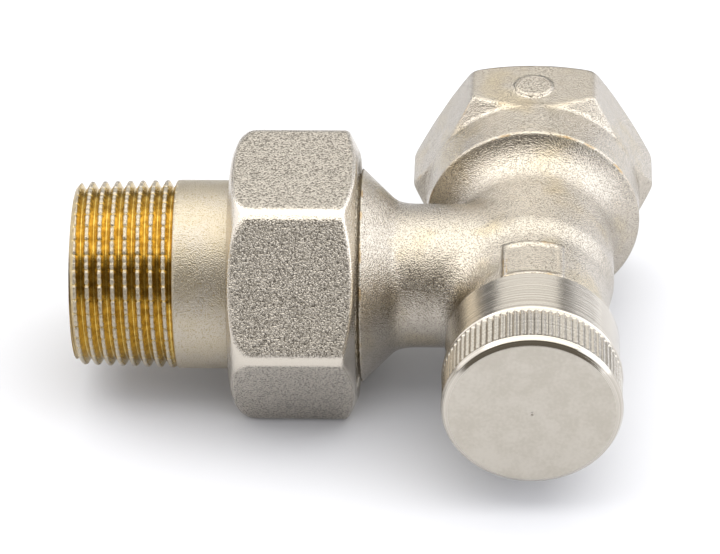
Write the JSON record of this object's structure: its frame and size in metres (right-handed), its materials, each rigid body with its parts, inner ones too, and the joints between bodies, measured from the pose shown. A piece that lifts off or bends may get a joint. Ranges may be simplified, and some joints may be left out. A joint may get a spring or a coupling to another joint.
{
  "type": "angle lockshield radiator valve",
  "caption": "Angle lockshield return valve in nickel-plated brass: hexagonal pipe socket, threaded tailpiece on a union nut, knurled screw cap over an adjustable spindle and cone.",
  "frame": {"origin": "centre of the pipe socket's mouth, on its end face", "axes": "+Y out of the pipe socket, towards the pipe; +X away from the tailpiece, whose axis is parallel to X; +Z across both axes"},
  "size_m": [0.0835, 0.0641, 0.037],
  "materials": {
    "forged_nickel": "forged brass, shot-blasted and nickel-plated, satin grain with a warm tint",
    "tail_nickel": "nickel-plated sleeve, with thread flanks cut back to bare gold brass",
    "nut_nickel": "forged nut, coarse shot-blasted flats and smooth rounded corners, nickel-plated",
    "cap_nickel": "turned and polished brass, nickel-plated, fine turning lines",
    "turned_brass": "bare turned brass",
    "spring_steel": "spring steel, smooth",
    "screw_steel": "stainless steel",
    "rubber_seal": "black rubber, matt",
    "fibre_seal": "pressed red fibre"
  },
  "bodies": {
    "body": {"valve_body": "forged_nickel", "bonnet": "turned_brass", "bonnet_o_ring": "rubber_seal", "retaining_ring": "spring_steel"},
    "tail": {"tailpiece": "tail_nickel"},
    "nut": {"union_nut": "nut_nickel"},
    "cap_carrier": {"cap_seal": "fibre_seal"},
    "cap": {"cap_shell": "cap_nickel"},
    "cone": {"valve_cone": "turned_brass", "cone_clip": "spring_steel", "seat_washer": "rubber_seal", "washer_plate": "turned_brass", "seat_screw": "screw_steel"},
    "stem": {"spindle": "turned_brass", "stem_o_ring_outer": "rubber_seal", "stem_o_ring_inner": "rubber_seal"}
  },
  "joints": [
    {"name": "tail_slide", "type": "slide", "parent": "body", "child": "tail", "axis": [-1, 0, 0], "range_m": [0, 0.01154]},
    {"name": "nut_turn", "type": "hinge", "parent": "tail", "child": "nut", "pos_m": [-0.034, -0.0319, 0], "axis": [-1, 0, 0], "range_deg": [0, 1800]},
    {"name": "cap_slide", "type": "slide", "parent": "body", "child": "cap_carrier", "axis": [0, -1, 0], "range_m": [0, 0.00555]},
    {"name": "cap_turn", "type": "hinge", "parent": "cap_carrier", "child": "cap", "pos_m": [0, -0.0559, 0], "axis": [0, -1, 0], "range_deg": [0, 1332]},
    {"name": "cone_slide", "type": "slide", "parent": "body", "child": "cone", "axis": [0, -1, 0], "range_m": [-0.0018, 0.0018]},
    {"name": "spindle_turn", "type": "hinge", "parent": "cone", "child": "stem", "pos_m": [0, -0.0462, 0], "axis": [0, -1, 0], "range_deg": [-648, 648]}
  ],
  "couplings": [
    {"joint": "nut_turn", "follows": "tail_slide", "rad_per_m": 2721.2},
    {"joint": "cap_turn", "follows": "cap_slide", "rad_per_m": 4188.8},
    {"joint": "spindle_turn", "follows": "cone_slide", "rad_per_m": 6283.2}
  ]
}
